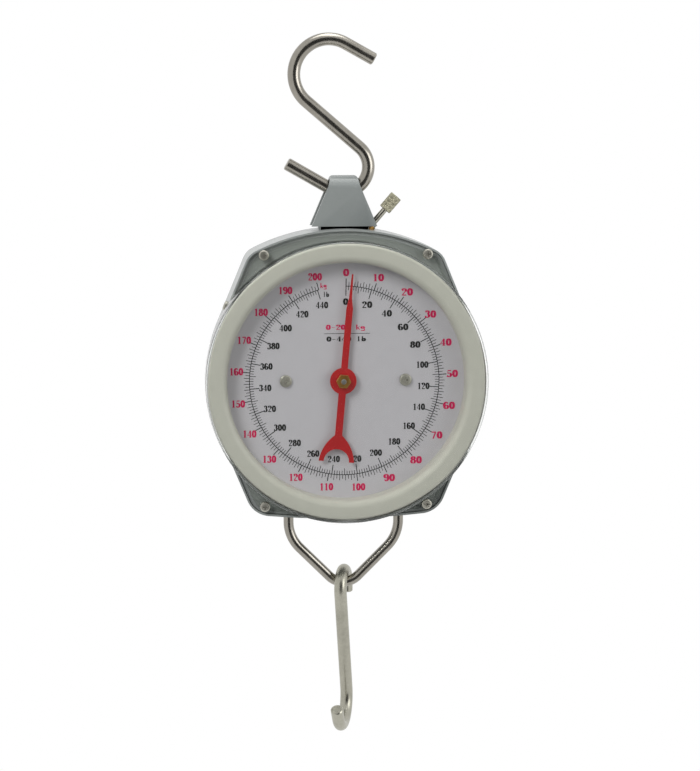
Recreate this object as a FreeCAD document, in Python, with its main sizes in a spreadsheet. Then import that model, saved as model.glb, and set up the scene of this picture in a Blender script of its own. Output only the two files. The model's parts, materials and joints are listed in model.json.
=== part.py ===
"""Hanging spring scale with a round dial, as a FreeCAD document of separate sub-parts.

Frame: millimetres, +Z up, the dial faces -Y and +X is to the right of someone who reads it.
The origin is the hanging point, inside the top of the top hook's upper bend.
Sizes are written in the dial's own frame: right and up from the pointer's axis, and front from
the plane of the case's rim. One placement carries that frame to the hanging point.
"""
import FreeCAD, Part
import math
import os
import re
import Sketcher
from FreeCAD import Placement, Rotation, Vector

SIZES = {
    # where the dial lies from the hanging point
    "hang_offset": 11.3, "hang_height": 260.0,
    # case: round sides, tangent flanks, arched top, nearly straight bottom
    "case_radius": 108.0, "flank_angle": 22.5, "top_height": 118.5, "top_radius": 158.0,
    "bottom_height": 110.0, "bottom_radius": 640.0, "top_corner": 16.0, "bottom_corner": 20.0,
    "case_depth": 42.0, "case_wall": 1.5, "case_back_round": 3.0, "slip_gap": 0.3,
    "post_radius": 3.5, "post_thread": 10.0,
    # plates behind the dial
    "chassis_front": 3.0, "chassis_sheet": 2.0, "dial_radius": 105.0, "dial_sheet": 1.0,
    "dial_screw_spacing": 94.0, "screw_right": 64.0, "screw_up": 99.0,
    # clear cover and trim ring
    "drum_radius": 110.4, "drum_wall": 2.0, "drum_front": 20.0, "window_wall": 3.0,
    "drum_round": 2.5, "flange_inset": 4.5, "flange_sheet": 2.5, "flange_front": 2.0,
    "flange_lip": 2.0, "rim_clearance": 0.5, "boss_radius": 3.6,
    "ring_inner": 93.2, "ring_height": 17.0, "ring_sheet": 1.5, "ring_roll": 6.0,
    # fasteners
    "screw_shank": 2.0, "screw_head": 4.0, "head_height": 2.4, "thread_fit": 0.05, "turning_fit": 0.25,
    "recess_arm": 1.9, "recess_width": 0.9, "recess_deep": 1.2, "screw_long": 14.0,
    "dial_screw_head": 4.75, "dial_screw_shank": 2.5, "dial_screw_long": 5.0,
    "nut_flats": 10.0, "nut_height": 5.0,
    # hanger bracket
    "strap_sheet": 3.0, "fold_gap": 15.0, "fold_width": 24.8, "fold_top_width": 22.0,
    "fold_corner": 3.0, "bend_height": 8.0, "foot_width": 51.5, "foot_gap": 1.5,
    "leg_width": 38.0, "leg_end": 84.0, "slot_gap": 0.5, "seat_gap": 0.3,
    # top hook
    "rod_radius": 5.0, "hook_lower_up": 166.0, "hook_lower_radius": 19.7, "hook_upper_up": 237.7,
    "hook_upper_radius": 27.3, "hook_leg_rise": 29.7, "hook_leg_long": 40.0,
    "hook_tip_fall": 29.0, "hook_tip_long": 25.5, "rod_chamfer": 0.8,
    # load springs and their bars
    "spring_right": 24.0, "spring_wire": 2.0, "spring_radius": 9.0, "spring_turns": 14.0,
    "plug_flange": 9.0, "plug_flange_thick": 3.0, "plug_long": 14.0, "plug_fit": 0.1,
    "upper_bar_up": 91.0, "upper_bar_high": 14.0, "upper_bar_half": 36.0,
    "stud_right": 11.0, "stud_radius": 3.0, "spacer_radius": 5.0,
    "lower_bar_up": -64.0, "lower_bar_high": 14.0, "lower_bar_half": 54.0, "lower_bar_deep": 14.0,
    # shackle
    "shackle_right": 44.0, "shackle_rod": 4.0, "shackle_stub": 1.5, "shackle_shoulder": -128.5,
    "shackle_bend": 30.0, "shackle_slope": 45.0, "shackle_apex_bend": 16.0,
    "shackle_nut_flats": 13.0, "shackle_nut_high": 6.5, "bush_flange": 7.5, "bush_barrel": 6.0,
    "bush_fit": 0.1, "bush_flange_thick": 2.0, "bush_barrel_long": 2.6,
    # load hook
    "hook_yaw": 16.0, "load_rod": 5.0, "load_upper_radius": 13.0, "load_lower_radius": 19.5,
    "load_lower_right": 6.0, "load_drop": 92.5, "load_end_long": 7.0, "load_tip_open": 35.0,
    "load_tip_long": 12.0,
    # pointer and movement
    "pointer_right": -2.3, "pointer_angle": 5.0, "pointer_sheet": 0.8, "pointer_front": 2.0,
    "pointer_long": 84.0, "pointer_disc": 10.4, "needle_tip": 0.6, "needle_root": 1.2,
    "needle_step": 65.0, "needle_wide": 2.6, "needle_step_long": 8.0, "tail_half": 2.85,
    "fork_start": 43.0, "fork_reach": 64.0, "fork_half": 14.0, "fork_tine": 4.0,
    "shaft_radius": 2.0, "shaft_fit": 0.05, "shaft_stub": 1.7, "shaft_collar": 3.2, "dial_bore": 4.0,
    "collar_play": 0.2, "bush_lip": 5.0, "bush_lip_thick": 1.5, "washer_thick": 1.2,
    "washer_radius": 5.5, "hub_nut_flats": 10.0, "hub_nut_high": 4.0,
    "pinion_pitch": 4.2, "pinion_teeth": 14.0, "tooth_module": 0.6, "tooth_play": 0.06,
    "tooth_addendum": 0.48, "tooth_dedendum": 0.6, "pressure_angle": 20.0, "pinion_overhang": 1.0,
    "rack_thick": 3.0, "rack_wide": 4.5, "rack_teeth": 16.0, "rack_top": 29.0, "guide_gap": 0.15,
    "guide_half": 5.0, "guide_right": 11.0, "rack_screw": 1.5, "rack_screw_head": 2.6, "rack_screw_gap": 6.0,
    "movement_front": -16.0, "movement_sheet": 1.5, "movement_screw": 1.2,
    "movement_screw_head": 2.4, "movement_half": 11.5, "movement_up": 20.0,
    "pillar_radius": 2.0, "pillar_right": 9.0, "pillar_up": 17.0, "bearing_radius": 3.5,
    # zero-adjusting screw
    "zero_right": 19.5, "zero_rise": 49.0, "zero_shank": 2.4, "zero_knob": 5.0, "zero_knob_long": 14.0,
    "zero_knob_start": 20.0, "zero_inner": -21.0, "zero_bush": 4.2, "zero_bush_half": 4.0,
    "zero_nut_half": 3.0, "zero_nut_at": -15.0, "zero_nut_wide": 4.0, "zero_collar": 3.6,
    "zero_collar_long": 1.5, "zero_play": 0.1,
    # side pins
    "side_pin_rise": 18.6, "side_pin_behind": 12.0, "side_pin_head": 3.6, "side_pin_high": 2.2,
    "side_pin_shank": 2.0,
}

doc = FreeCAD.newDocument("HangingScale")
sheet = doc.addObject("Spreadsheet::Sheet", "Sizes")
for row, (alias, number) in enumerate(SIZES.items(), start=1):
    sheet.set(f"A{row}", alias)
    sheet.set(f"B{row}", str(number))
    sheet.setAlias(f"B{row}", alias)
doc.recompute()

ALIAS = re.compile(r"\b(" + "|".join(sorted(SIZES, key=len, reverse=True)) + r")\b")
PIECES = []


def link(text):
    """Turn a formula in plain aliases into an expression that reads the sheet."""
    return ALIAS.sub(r"Sizes.\1", str(text))


def value(text):
    """Work out a formula's number now, for a first drawing or a comparison."""
    found = sheet.evalExpression(link(text))
    return float(getattr(found, "Value", found))


class Circle:
    """A round outline from its centre and radius formulas."""

    def __init__(self, right, up, radius):
        self.right, self.up, self.radius = right, up, radius

    def draw(self, sketch):
        centre = Vector(value(self.right), value(self.up), 0)
        index = sketch.addGeometry(Part.Circle(centre, Vector(0, 0, 1), value(self.radius)))
        pin(sketch, index, 3, self.right, self.up)
        measure(sketch, "Radius", (index,), self.radius)


class Chain:
    """Lines and arcs through points. A step is (x, y) for a line, or (x, y, radius, side) for an
    arc of less than half a turn, where side is 1 with the centre on the left and -1 on the right."""

    def __init__(self, start, steps, closed=True):
        self.start, self.steps, self.closed = start, steps, closed

    def draw(self, sketch):
        here = self.start
        first = last = None
        for step in self.steps:
            there = step[:2]
            a = Vector(value(here[0]), value(here[1]), 0)
            b = Vector(value(there[0]), value(there[1]), 0)
            if len(step) == 2:
                index, begin, end = sketch.addGeometry(Part.LineSegment(a, b)), 1, 2
            else:
                index, begin, end = self.arc(sketch, a, b, step[2], step[3])
            if last is None:
                first = (index, begin)
                pin(sketch, index, begin, *here)
            else:
                sketch.addConstraint(Sketcher.Constraint("Coincident", last[0], last[1], index, begin))
            if self.closed and step is self.steps[-1]:
                sketch.addConstraint(Sketcher.Constraint("Coincident", index, end, *first))
            else:
                pin(sketch, index, end, *there)
            last = (index, end)
            here = there

    def arc(self, sketch, a, b, radius, side):
        size = value(radius)
        chord = b - a
        left = Vector(-chord.y, chord.x, 0).normalize()
        rise = math.sqrt(size ** 2 - (chord.Length / 2) ** 2)
        centre = (a + b) / 2 + left * (side * rise)
        ends = (a, b) if side > 0 else (b, a)
        turns = [math.atan2(p.y - centre.y, p.x - centre.x) for p in ends]
        circle = Part.Circle(centre, Vector(0, 0, 1), size)
        index = sketch.addGeometry(Part.ArcOfCircle(circle, *turns))
        measure(sketch, "Radius", (index,), radius)
        return (index, 1, 2) if side > 0 else (index, 2, 1)


class Outline:
    """The case's outline drawn smaller all round by an inset: arcs and lines, all tangent."""

    def __init__(self, inset="0"):
        self.inset = inset

    def draw(self, sketch):
        side = f"case_radius - ({self.inset})"
        angle = math.radians(value("flank_angle"))
        radius = value(side)
        normal = Vector(math.cos(angle), math.sin(angle), 0)
        along = Vector(-math.sin(angle), math.cos(angle), 0)
        ends = {}
        for up, arch, corner, height in ((1, "top_radius", "top_corner", "top_height"),
                                         (-1, "bottom_radius", "bottom_corner", "bottom_height")):
            big = value(f"{arch} - ({self.inset})")
            small = value(f"{corner} - ({self.inset})")
            drop = value(f"{height} - {arch}")
            base = normal * (radius - small) - Vector(0, drop, 0)
            half = base.dot(along)
            slide = -half + math.sqrt(half ** 2 - base.dot(base) + (big - small) ** 2)
            centre = normal * (radius - small) + along * slide
            reach = (centre - Vector(0, drop, 0)).normalize()
            ends[up] = {"big": big, "drop": up * drop, "small": small,
                        "centre": centre, "flank": centre + normal * small, "arch": centre + reach * small,
                        "arch_radius": f"{arch} - ({self.inset})",
                        "corner_radius": f"{corner} - ({self.inset})",
                        "arch_centre": (f"{height} - {arch}" if up > 0 else f"{arch} - {height}")}
        chain = []
        tangent = normal * radius
        flip = {(1, 1): lambda p: p, (-1, 1): lambda p: Vector(-p.x, p.y, 0),
                (1, -1): lambda p: Vector(p.x, -p.y, 0), (-1, -1): lambda p: Vector(-p.x, -p.y, 0)}
        zero = Vector(0, 0, 0)
        top, bottom = ends[1], ends[-1]

        def add_arc(centre, start, end, formula):
            size = (start - centre).Length
            turns = [math.atan2(p.y - centre.y, p.x - centre.x) for p in (start, end)]
            index = sketch.addGeometry(Part.ArcOfCircle(Part.Circle(centre, Vector(0, 0, 1), size), *turns))
            measure(sketch, "Radius", (index,), formula)
            chain.append(index)
            return index

        def add_line(start, end):
            chain.append(sketch.addGeometry(Part.LineSegment(start, end)))
            return chain[-1]

        at = {key: [move(p) for p in (tangent, (top if key[1] > 0 else bottom)["flank"],
                                      (top if key[1] > 0 else bottom)["arch"],
                                      (top if key[1] > 0 else bottom)["centre"])]
              for key, move in flip.items()}
        right = add_arc(zero, at[(1, -1)][0], at[(1, 1)][0], side)
        flanks = [add_line(at[(1, 1)][0], at[(1, 1)][1])]
        add_arc(at[(1, 1)][3], at[(1, 1)][1], at[(1, 1)][2], top["corner_radius"])
        arch = add_arc(Vector(0, top["drop"], 0), at[(1, 1)][2], at[(-1, 1)][2], top["arch_radius"])
        add_arc(at[(-1, 1)][3], at[(-1, 1)][2], at[(-1, 1)][1], top["corner_radius"])
        flanks.append(add_line(at[(-1, 1)][1], at[(-1, 1)][0]))
        left = add_arc(zero, at[(-1, 1)][0], at[(-1, -1)][0], side)
        flanks.append(add_line(at[(-1, -1)][0], at[(-1, -1)][1]))
        add_arc(at[(-1, -1)][3], at[(-1, -1)][1], at[(-1, -1)][2], bottom["corner_radius"])
        floor = add_arc(Vector(0, bottom["drop"], 0), at[(-1, -1)][2], at[(1, -1)][2], bottom["arch_radius"])
        add_arc(at[(1, -1)][3], at[(1, -1)][2], at[(1, -1)][1], bottom["corner_radius"])
        flanks.append(add_line(at[(1, -1)][1], at[(1, -1)][0]))
        for near, far in zip(chain, chain[1:] + chain[:1]):
            sketch.addConstraint(Sketcher.Constraint("Tangent", near, 2, far, 1))
        for index in (right, left):
            sketch.addConstraint(Sketcher.Constraint("Coincident", index, 3, -1, 1))
        pin(sketch, arch, 3, "0", top["arch_centre"])
        pin(sketch, floor, 3, "0", bottom["arch_centre"])
        for index, start in zip(flanks, ("90 + flank_angle", "270 - flank_angle", "270 + flank_angle",
                                         "90 - flank_angle")):
            turn = sketch.addConstraint(Sketcher.Constraint("Angle", index, math.radians(value(start))))
            sketch.setExpression(f"Constraints[{turn}]", f"({link(start)}) * 1 deg")


def pin(sketch, index, point, right, up):
    """Hold a point of a drawing at two formulas from the sketch's origin."""
    for kind, text in (("DistanceX", right), ("DistanceY", up)):
        measure(sketch, kind, (-1, 1, index, point), text)


def measure(sketch, kind, target, text):
    """Add one sized constraint and bind it to its formula."""
    index = sketch.addConstraint(Sketcher.Constraint(kind, *target, value(text)))
    sketch.setExpression(f"Constraints[{index}]", link(text))


def rectangle(left, low, right, high):
    """A four-sided chain between two opposite corners."""
    return Chain((left, low), [(right, low), (right, high), (left, high), (left, low)])


def hexagon(right, up, flats):
    """A nut's outline, with two corners on its level centre line."""
    reach = f"({flats}) / sqrt(3)"
    corners = [(f"({right}) + {reach} * {cx}", f"({up}) + ({flats}) / 2 * {cy}")
               for cx, cy in ((1, 0), (0.5, 1), (-0.5, 1), (-1, 0), (-0.5, -1), (0.5, -1))]
    return Chain(corners[0], corners[1:] + corners[:1])


class Piece:
    """One sub-part: a PartDesign body in the dial's frame, named by its label."""

    def __init__(self, label, right="0", front="0", up="0", turn=None):
        self.label = label
        self.body = doc.addObject("PartDesign::Body", label)
        self.body.Label = label
        self.body.AllowCompound = True
        if turn:
            self.body.Placement = Placement(Vector(), Rotation(turn[0], value(turn[1])))
            self.body.setExpression("Placement.Rotation.Angle", f"({link(turn[1])}) * 1 deg")
        self.body.setExpression("Placement.Base.x", link(f"hang_offset + ({right})"))
        self.body.setExpression("Placement.Base.y", link(f"-case_depth / 2 - ({front})"))
        self.body.setExpression("Placement.Base.z", link(f"({up}) - hang_height"))
        PIECES.append(self)

    def sketch(self, plane, start, *shapes, tilt=None):
        """Draw shapes on one of the body's own planes, moved along its normal to start."""
        drawing = self.body.newObject("Sketcher::SketchObject", self.label + "_sketch")
        role = [o for o in self.body.Origin.OriginFeatures if o.Role == plane + "_Plane"]
        drawing.AttachmentSupport = [(role[0], "")]
        drawing.MapMode = "FlatFace"
        if tilt:
            drawing.AttachmentOffset = Placement(Vector(), Rotation(tilt[2], value(tilt[3])))
            drawing.setExpression("AttachmentOffset.Rotation.Angle", f"({link(tilt[3])}) * 1 deg")
            drawing.setExpression("AttachmentOffset.Base.x", link(tilt[0]))
            drawing.setExpression("AttachmentOffset.Base.y", link(tilt[1]))
        drawing.setExpression("AttachmentOffset.Base.z", link(start))
        for shape in shapes:
            shape.draw(drawing)
        return drawing

    def pad(self, plane, start, length, *shapes):
        """Add a prism from start along the plane's normal."""
        pad = self.body.newObject("PartDesign::Pad", self.label + "_pad")
        pad.Profile = self.sketch(plane, start, *shapes)
        pad.setExpression("Length", link(length))
        doc.recompute()
        return self

    def cut(self, plane, start, length, *shapes, tilt=None):
        """Remove a prism from start along the plane's normal, and prove that it removed something."""
        before = self.body.Shape.Volume
        pocket = self.body.newObject("PartDesign::Pocket", self.label + "_pocket")
        pocket.Profile = self.sketch(plane, start, *shapes, tilt=tilt)
        pocket.Reversed = True
        pocket.setExpression("Length", link(length))
        doc.recompute()
        if self.body.Shape.Volume > before - 0.01:
            raise RuntimeError(f"{self.label}: a pocket cuts nothing")
        return self

    def turn(self, plane, axis, *shapes):
        """Add a full revolution about one axis of the sketch."""
        spin = self.body.newObject("PartDesign::Revolution", self.label + "_turn")
        drawing = self.sketch(plane, "0", *shapes)
        spin.Profile = drawing
        spin.ReferenceAxis = (drawing, [axis])
        spin.Angle = 360
        doc.recompute()
        return self

    def rod(self, plane, path, radius):
        """Add a round rod along an open chain."""
        spine = self.sketch(plane, "0", path)
        section = self.body.newObject("Sketcher::SketchObject", self.label + "_section")
        section.AttachmentSupport = [(spine, "Edge1")]
        section.MapMode = "NormalToEdge"
        section.MapPathParameter = 0
        Circle("0", "0", radius).draw(section)
        pipe = self.body.newObject("PartDesign::AdditivePipe", self.label + "_rod")
        pipe.Profile = section
        pipe.Spine = (spine, [f"Edge{n}" for n in range(1, len(path.steps) + 1)])
        doc.recompute()
        return self

    def edges(self, test):
        """Names of the last feature's edges that pass a test."""
        return [f"Edge{n}" for n, edge in enumerate(self.body.Tip.Shape.Edges, start=1) if test(edge)]

    def fillet(self, radius, test):
        """Round the edges that pass a test."""
        return self.soften("PartDesign::Fillet", "Radius", radius, test)

    def chamfer(self, size, test):
        """Bevel the edges that pass a test."""
        return self.soften("PartDesign::Chamfer", "Size", size, test)

    def soften(self, kind, setting, size, test):
        names = self.edges(test)
        base = self.body.Tip
        feature = self.body.newObject(kind, self.label + "_edge")
        feature.Base = (base, names)
        feature.setExpression(setting, link(size))
        doc.recompute()
        return self


# Formulas that several pieces share. The load plane lies half way back in the case.
MID = "-case_depth / 2"
CHASSIS_REAR = "-(chassis_front + chassis_sheet)"
DIAL_FACE = "dial_sheet - chassis_front"
FOLD_IN = "fold_gap / 2"
FOLD_OUT = "(fold_gap / 2 + strap_sheet)"
FOLD_ROOF = ("(hook_lower_up + seat_gap - "
             "sqrt((hook_lower_radius - rod_radius) ^ 2 - (fold_top_width / 2) ^ 2))")
BAR_FLOOR = "(upper_bar_up - upper_bar_high / 2)"
CARRIAGE_TOP = "(lower_bar_up + lower_bar_high / 2)"
CARRIAGE_FLOOR = "(lower_bar_up - lower_bar_high / 2)"
SPRING_TOP = f"({BAR_FLOOR} - plug_flange_thick)"
SPRING_FLOOR = f"({CARRIAGE_TOP} + plug_flange_thick)"
RACK_LINE = "(pointer_right + pinion_pitch)"
RACK_REAR = f"({MID} + lower_bar_deep / 2)"
ZERO_WALL = "(top_height - top_radius + sqrt(top_radius ^ 2 - zero_right ^ 2))"
LEG_SEAT = ("(bottom_radius - bottom_height"
            " - sqrt((bottom_radius - case_wall) ^ 2 - (shackle_right + bush_flange) ^ 2))")
APEX_POINT = "(shackle_shoulder - shackle_right * tan(shackle_slope))"
APEX_LOW = f"({APEX_POINT} + shackle_apex_bend / cos(shackle_slope) - shackle_apex_bend)"
LOAD_PIVOT = f"({APEX_LOW} + shackle_rod + seat_gap - load_upper_radius + load_rod)"
CORNERS = [(f"{x} * screw_right", f"{y} * screw_up") for x, y in ((1, 1), (-1, 1), (-1, -1), (1, -1))]
SIDES = (1, -1)
Y_AXIS = Vector(0, 1, 0)


def at_end(right, up, reach=0.6):
    """A test for an edge whose middle lies at a point of the XZ plane."""
    spot = Vector(value(right), 0, value(up))
    return lambda edge: edge.CenterOfMass.distanceToPoint(spot) < reach


def level(front):
    """A test for a closed edge that lies in a plane at one front distance."""
    place = -value(front)
    return lambda edge: edge.BoundBox.YLength < 0.001 and abs(edge.BoundBox.YMin - place) < 0.001


def cross_recess(piece, spots, face):
    """Cut a cross in each screw head, one pair of arms at a time."""
    for wide, high in (("recess_arm", "recess_width / 2"), ("recess_width / 2", "recess_arm")):
        arms = [rectangle(f"{x} - {wide}", f"{y} - {high}", f"{x} + {wide}", f"{y} + {high}")
                for x, y in spots]
        piece.cut("XZ", f"{face} - recess_deep", "recess_deep + 1", *arms)


def make_top_hook():
    """Bend the rod that the scale hangs by."""
    turn = ("(atan2(hook_upper_up - hook_lower_up; -hang_offset) + asin((hook_lower_radius"
            " + hook_upper_radius) / sqrt(hang_offset ^ 2 + (hook_upper_up - hook_lower_up) ^ 2)))")
    leg = ("-hook_lower_radius * sin(hook_leg_rise)",
           "hook_lower_up - hook_lower_radius * cos(hook_leg_rise)")
    leg_end = (f"{leg[0]} - hook_leg_long * cos(hook_leg_rise)",
               f"{leg[1]} + hook_leg_long * sin(hook_leg_rise)")
    low = (f"hook_lower_radius * sin({turn})", f"hook_lower_up - hook_lower_radius * cos({turn})")
    high = (f"-hang_offset - hook_upper_radius * sin({turn})",
            f"hook_upper_up + hook_upper_radius * cos({turn})")
    over = ("-hang_offset + hook_upper_radius * sin(hook_tip_fall)",
            "hook_upper_up + hook_upper_radius * cos(hook_tip_fall)")
    tip = (f"{over[0]} + hook_tip_long * cos(hook_tip_fall)",
           f"{over[1]} - hook_tip_long * sin(hook_tip_fall)")
    path = Chain(leg_end, [leg, (*low, "hook_lower_radius", 1), high,
                           (*over, "hook_upper_radius", -1), tip], closed=False)
    hook = Piece("top_hook", front=MID).rod("XZ", path, "rod_radius")
    hook.chamfer("rod_chamfer", lambda e: at_end(*leg_end)(e) or at_end(*tip)(e))


def make_bracket():
    """Fold the strap over the top hook and run its legs down to the upper bar."""
    bracket = Piece("hanger_bracket", front=MID)
    centre = f"({FOLD_ROOF} - {FOLD_IN})"
    strap = Chain((FOLD_OUT, "leg_end"), [
        (FOLD_OUT, centre), ("0", f"{centre} + {FOLD_OUT}", FOLD_OUT, 1),
        (f"-{FOLD_OUT}", centre, FOLD_OUT, 1), (f"-{FOLD_OUT}", "leg_end"),
        (f"-{FOLD_IN}", "leg_end"), (f"-{FOLD_IN}", centre), ("0", FOLD_ROOF, FOLD_IN, -1),
        (FOLD_IN, centre, FOLD_IN, -1), (FOLD_IN, "leg_end"), (FOLD_OUT, "leg_end")])
    bracket.pad("YZ", "-foot_width / 2 - 1", "foot_width + 2", strap)
    roof = f"({FOLD_ROOF} + strap_sheet)"
    foot = "top_height + foot_gap"
    half = [("leg_width / 2", "leg_end"), ("leg_width / 2", foot), ("foot_width / 2", foot),
            ("fold_width / 2", f"{roof} - bend_height"),
            ("fold_top_width / 2", f"{roof} - fold_corner"),
            ("fold_top_width / 2 - fold_corner", roof, "fold_corner", 1)]
    mirrored = [(f"-({p[0]})", p[1]) for p in reversed(half)]
    mirrored[1] = (*mirrored[1], "fold_corner", 1)
    shape = Chain(half[0], half[1:] + mirrored + [half[0]])
    frame = rectangle("-foot_width / 2 - 3", "leg_end - 2", "foot_width / 2 + 3", f"{roof} + 2")
    bracket.cut("XZ", f"-{FOLD_OUT} - 1", f"2 * {FOLD_OUT} + 2", frame, shape)
    bracket.cut("XZ", f"-{FOLD_OUT} - 1", f"2 * {FOLD_OUT} + 2",
                *[Circle(f"{side} * stud_right", "upper_bar_up", "stud_radius + thread_fit") for side in SIDES])


def make_upper_bar():
    """Hang the bar that carries the springs between the strap's legs."""
    bar = Piece("upper_bar", front=MID)
    bar.pad("XY", BAR_FLOOR, "upper_bar_high",
            rectangle("-upper_bar_half", f"-{FOLD_IN}", "upper_bar_half", FOLD_IN))
    bar.cut("XZ", "-fold_gap", "2 * fold_gap",
            *[Circle(f"{side} * stud_right", "upper_bar_up", "stud_radius + thread_fit") for side in SIDES])
    bar.cut("XY", f"{BAR_FLOOR} - 1", "upper_bar_high + 2",
            *[Circle(f"{side} * spring_right", "0", "stud_radius + thread_fit") for side in SIDES])
    studs = Piece("hanger_studs")
    nut_face = f"({MID} - {FOLD_OUT})"
    studs.pad("XZ", f"{nut_face} - nut_height - 1.5", f"{CHASSIS_REAR} - ({nut_face} - nut_height - 1.5)",
              *[Circle(f"{side} * stud_right", "upper_bar_up", "stud_radius") for side in SIDES])
    spacers = Piece("hanger_spacers")
    spacers.pad("XZ", f"{MID} + {FOLD_OUT}", f"{CHASSIS_REAR} - ({MID} + {FOLD_OUT})",
                *[Circle(f"{side} * stud_right", "upper_bar_up", radius) for side in SIDES
                  for radius in ("spacer_radius", "stud_radius + thread_fit")])
    nuts = Piece("hanger_nuts")
    nuts.pad("XZ", f"{nut_face} - nut_height", "nut_height",
             *[shape for side in SIDES for shape in (
                 hexagon(f"{side} * stud_right", "upper_bar_up", "nut_flats"),
                 Circle(f"{side} * stud_right", "upper_bar_up", "stud_radius + thread_fit"))])


def make_plugs(label, face, way, bar_high):
    """A pair of spring plugs: a flange on the bar's face, a boss in the coil, a stem in the bar."""
    plugs = Piece(label, front=MID)

    def rounds(radius):
        return [Circle(f"{side} * spring_right", "0", radius) for side in SIDES]

    flange_far = f"({face} + {way} * plug_flange_thick)"
    boss_far = f"({flange_far} + {way} * plug_long)"
    stem_far = f"({face} - {way} * ({bar_high}))"
    for near, far, radius in ((face, flange_far, "plug_flange"),
                              (flange_far, boss_far, "spring_radius - spring_wire - plug_fit"),
                              (face, stem_far, "stud_radius")):
        start = near if value(near) < value(far) else far
        plugs.pad("XY", start, f"abs({far} - {near})", *rounds(radius))


def make_springs():
    """Wind the two load springs."""
    for name, side in (("main_spring_right", 1), ("main_spring_left", -1)):
        spring = Piece(name, right=f"{side} * spring_right", front=MID)
        profile = spring.sketch("XZ", "0", Circle("spring_radius", f"{SPRING_FLOOR} + spring_wire + plug_fit",
                                                  "spring_wire"))
        coil = spring.body.newObject("PartDesign::AdditiveHelix", name + "_coil")
        coil.Profile = profile
        coil.ReferenceAxis = (profile, ["V_Axis"])
        coil.Mode = "height-turns-angle"
        coil.setExpression("Height", link(f"{SPRING_TOP} - {SPRING_FLOOR} - 2 * (spring_wire + plug_fit)"))
        coil.setExpression("Turns", link("spring_turns"))
        doc.recompute()


def make_case():
    """Press the case shell, with the holes that its rods and screws pass."""
    case = Piece("case_shell")
    case.pad("XZ", "-case_depth", "case_depth", Outline())
    case.fillet("case_back_round", level("-case_depth"))
    case.cut("XZ", "case_wall - case_depth", "case_depth - case_wall + 1", Outline("case_wall"))
    slots = [rectangle("-leg_width / 2 - slot_gap", f"case_depth / 2 + {side} * (fold_gap / 2 - slot_gap)",
                       "leg_width / 2 + slot_gap", f"case_depth / 2 + {side} * ({FOLD_OUT} + slot_gap)")
             for side in SIDES]
    case.cut("XY", "top_height - top_corner / 2", "top_corner", *slots)
    case.cut("XY", "-bottom_height - 1", "bottom_corner",
             *[Circle(f"{side} * shackle_right", "case_depth / 2", "bush_barrel") for side in SIDES])
    bore(case, "zero_right", "case_depth / 2", ZERO_WALL, "90 - zero_rise", "zero_bush")
    for side in SIDES:
        right, up = side_pin_spot(side)
        bore(case, right, "side_pin_behind", up, f"{side} * (90 - flank_angle)", "side_pin_shank")
    posts = Piece("case_posts")
    posts.pad("XZ", "case_wall - case_depth", f"{CHASSIS_REAR} - (case_wall - case_depth)",
              *[Circle(x, y, "post_radius") for x, y in CORNERS])
    posts.cut("XZ", f"{CHASSIS_REAR} - post_thread", "post_thread + 1",
              *[Circle(x, y, "screw_shank + thread_fit") for x, y in CORNERS])


def bore(piece, right, back, up, lean, radius):
    """Cut a round hole through a wall, square to a direction that leans from upright to the right."""
    piece.cut("XY", f"{up} - case_wall * 4 * cos({lean})", "case_wall * 8", Circle("0", "0", radius),
              tilt=(f"{right} - case_wall * 4 * sin({lean})", back, Y_AXIS, lean))


def side_pin_spot(side):
    """Right and up of the side pin's seat on the flank."""
    return (f"{side} * (case_radius * cos(flank_angle) - side_pin_rise * sin(flank_angle))",
            "(case_radius * sin(flank_angle) + side_pin_rise * cos(flank_angle))")


def make_side_pins():
    """Put one screw in each flank."""
    for name, side in (("side_screw_right", 1), ("side_screw_left", -1)):
        right, up = side_pin_spot(side)
        screw = Piece(name, right=right, front="-side_pin_behind", up=up,
                      turn=(Y_AXIS, f"{side} * (90 - flank_angle)"))
        screw.pad("XY", "0", "side_pin_high", Circle("0", "0", "side_pin_head"))
        screw.fillet("side_pin_high / 2", lambda e: e.BoundBox.ZMin > value("side_pin_high") - 0.001)
        screw.pad("XY", "-3 * case_wall", "3 * case_wall", Circle("0", "0", "side_pin_shank"))


def make_plates():
    """Cut the chassis plate and the dial plate."""
    chassis = Piece("chassis_plate")
    chassis.pad("XZ", CHASSIS_REAR, "chassis_sheet", Outline("case_wall + slip_gap"))
    dial_spots = [(f"{side} * dial_screw_spacing / 2", "0") for side in SIDES]
    chassis.cut("XZ", f"{CHASSIS_REAR} - 1", "chassis_sheet + 2", Circle("pointer_right", "0", "bearing_radius"),
                *[Circle(x, y, "screw_shank + thread_fit") for x, y in CORNERS],
                *[Circle(x, y, "dial_screw_shank + thread_fit") for x, y in dial_spots])
    dial = Piece("dial_plate")
    dial.pad("XZ", "-chassis_front", "dial_sheet", Circle("0", "0", "dial_radius"),
             Circle("pointer_right", "0", "dial_bore"),
             *[Circle(x, y, "dial_screw_shank + thread_fit") for x, y in dial_spots])
    screws = Piece("dial_screws")
    screws.pad("XZ", DIAL_FACE, "head_height", *[Circle(x, y, "dial_screw_head") for x, y in dial_spots])
    screws.fillet("head_height / 2", level(f"{DIAL_FACE} + head_height"))
    screws.pad("XZ", f"{DIAL_FACE} - dial_screw_long", "dial_screw_long",
               *[Circle(x, y, "dial_screw_shank") for x, y in dial_spots])
    cross_recess(screws, dial_spots, f"{DIAL_FACE} + head_height")


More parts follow.
